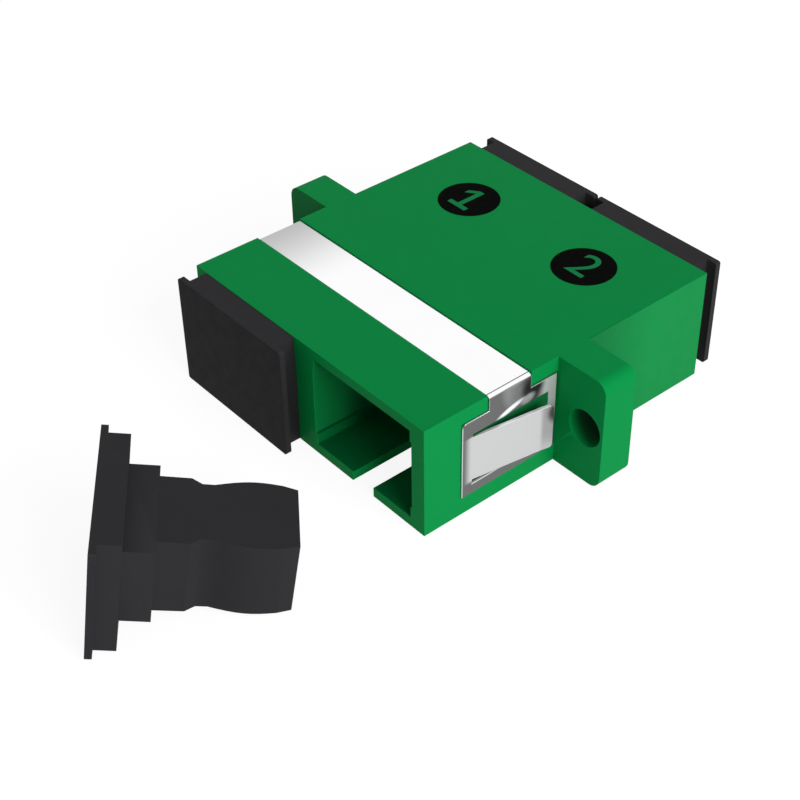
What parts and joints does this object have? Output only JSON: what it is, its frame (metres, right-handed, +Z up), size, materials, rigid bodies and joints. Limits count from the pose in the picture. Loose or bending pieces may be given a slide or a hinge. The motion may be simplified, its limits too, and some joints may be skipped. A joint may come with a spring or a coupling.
{
  "type": "duplex fibre optic adapter",
  "caption": "Duplex square-port fibre optic adapter with a screw flange, a folded spring clip for a panel cut-out, inner latches and split sleeves, and black dust caps, one taken off.",
  "frame": {"origin": "Midway between the two screw holes, on the front face of the flange ears.", "axes": "+X to the right seen from the front ports, +Y from the front ports to the rear ones, +Z up out of the face with the clip's strip."},
  "size_m": [0.0352, 0.0538, 0.0095],
  "materials": {
    "housing_plastic": "green moulded plastic, fine satin surface",
    "clip_steel": "bright spring steel sheet, smooth",
    "latch_plastic": "green moulded plastic, plain",
    "sleeve_ceramic": "white fired ceramic, ground smooth",
    "cap_plastic": "soft black moulded plastic, matt"
  },
  "bodies": {
    "adapter": {"housing": "housing_plastic", "panel_clip": "clip_steel", "front_latch_left": "latch_plastic", "front_latch_right": "latch_plastic", "rear_latch_left": "latch_plastic", "rear_latch_right": "latch_plastic", "sleeve_left": "sleeve_ceramic", "sleeve_right": "sleeve_ceramic", "dust_cap_taken_off": "cap_plastic"},
    "front_left_cap": {"dust_cap_front_left": "cap_plastic"},
    "rear_left_cap": {"dust_cap_rear_left": "cap_plastic"},
    "rear_right_cap": {"dust_cap_rear_right": "cap_plastic"}
  },
  "joints": [
    {"name": "front_left_cap_slide", "type": "slide", "parent": "adapter", "child": "front_left_cap", "axis": [0, -1, 0], "range_m": [0, 0.012]},
    {"name": "rear_left_cap_slide", "type": "slide", "parent": "adapter", "child": "rear_left_cap", "axis": [0, 1, 0], "range_m": [0, 0.012]},
    {"name": "rear_right_cap_slide", "type": "slide", "parent": "adapter", "child": "rear_right_cap", "axis": [0, 1, 0], "range_m": [0, 0.012]}
  ]
}
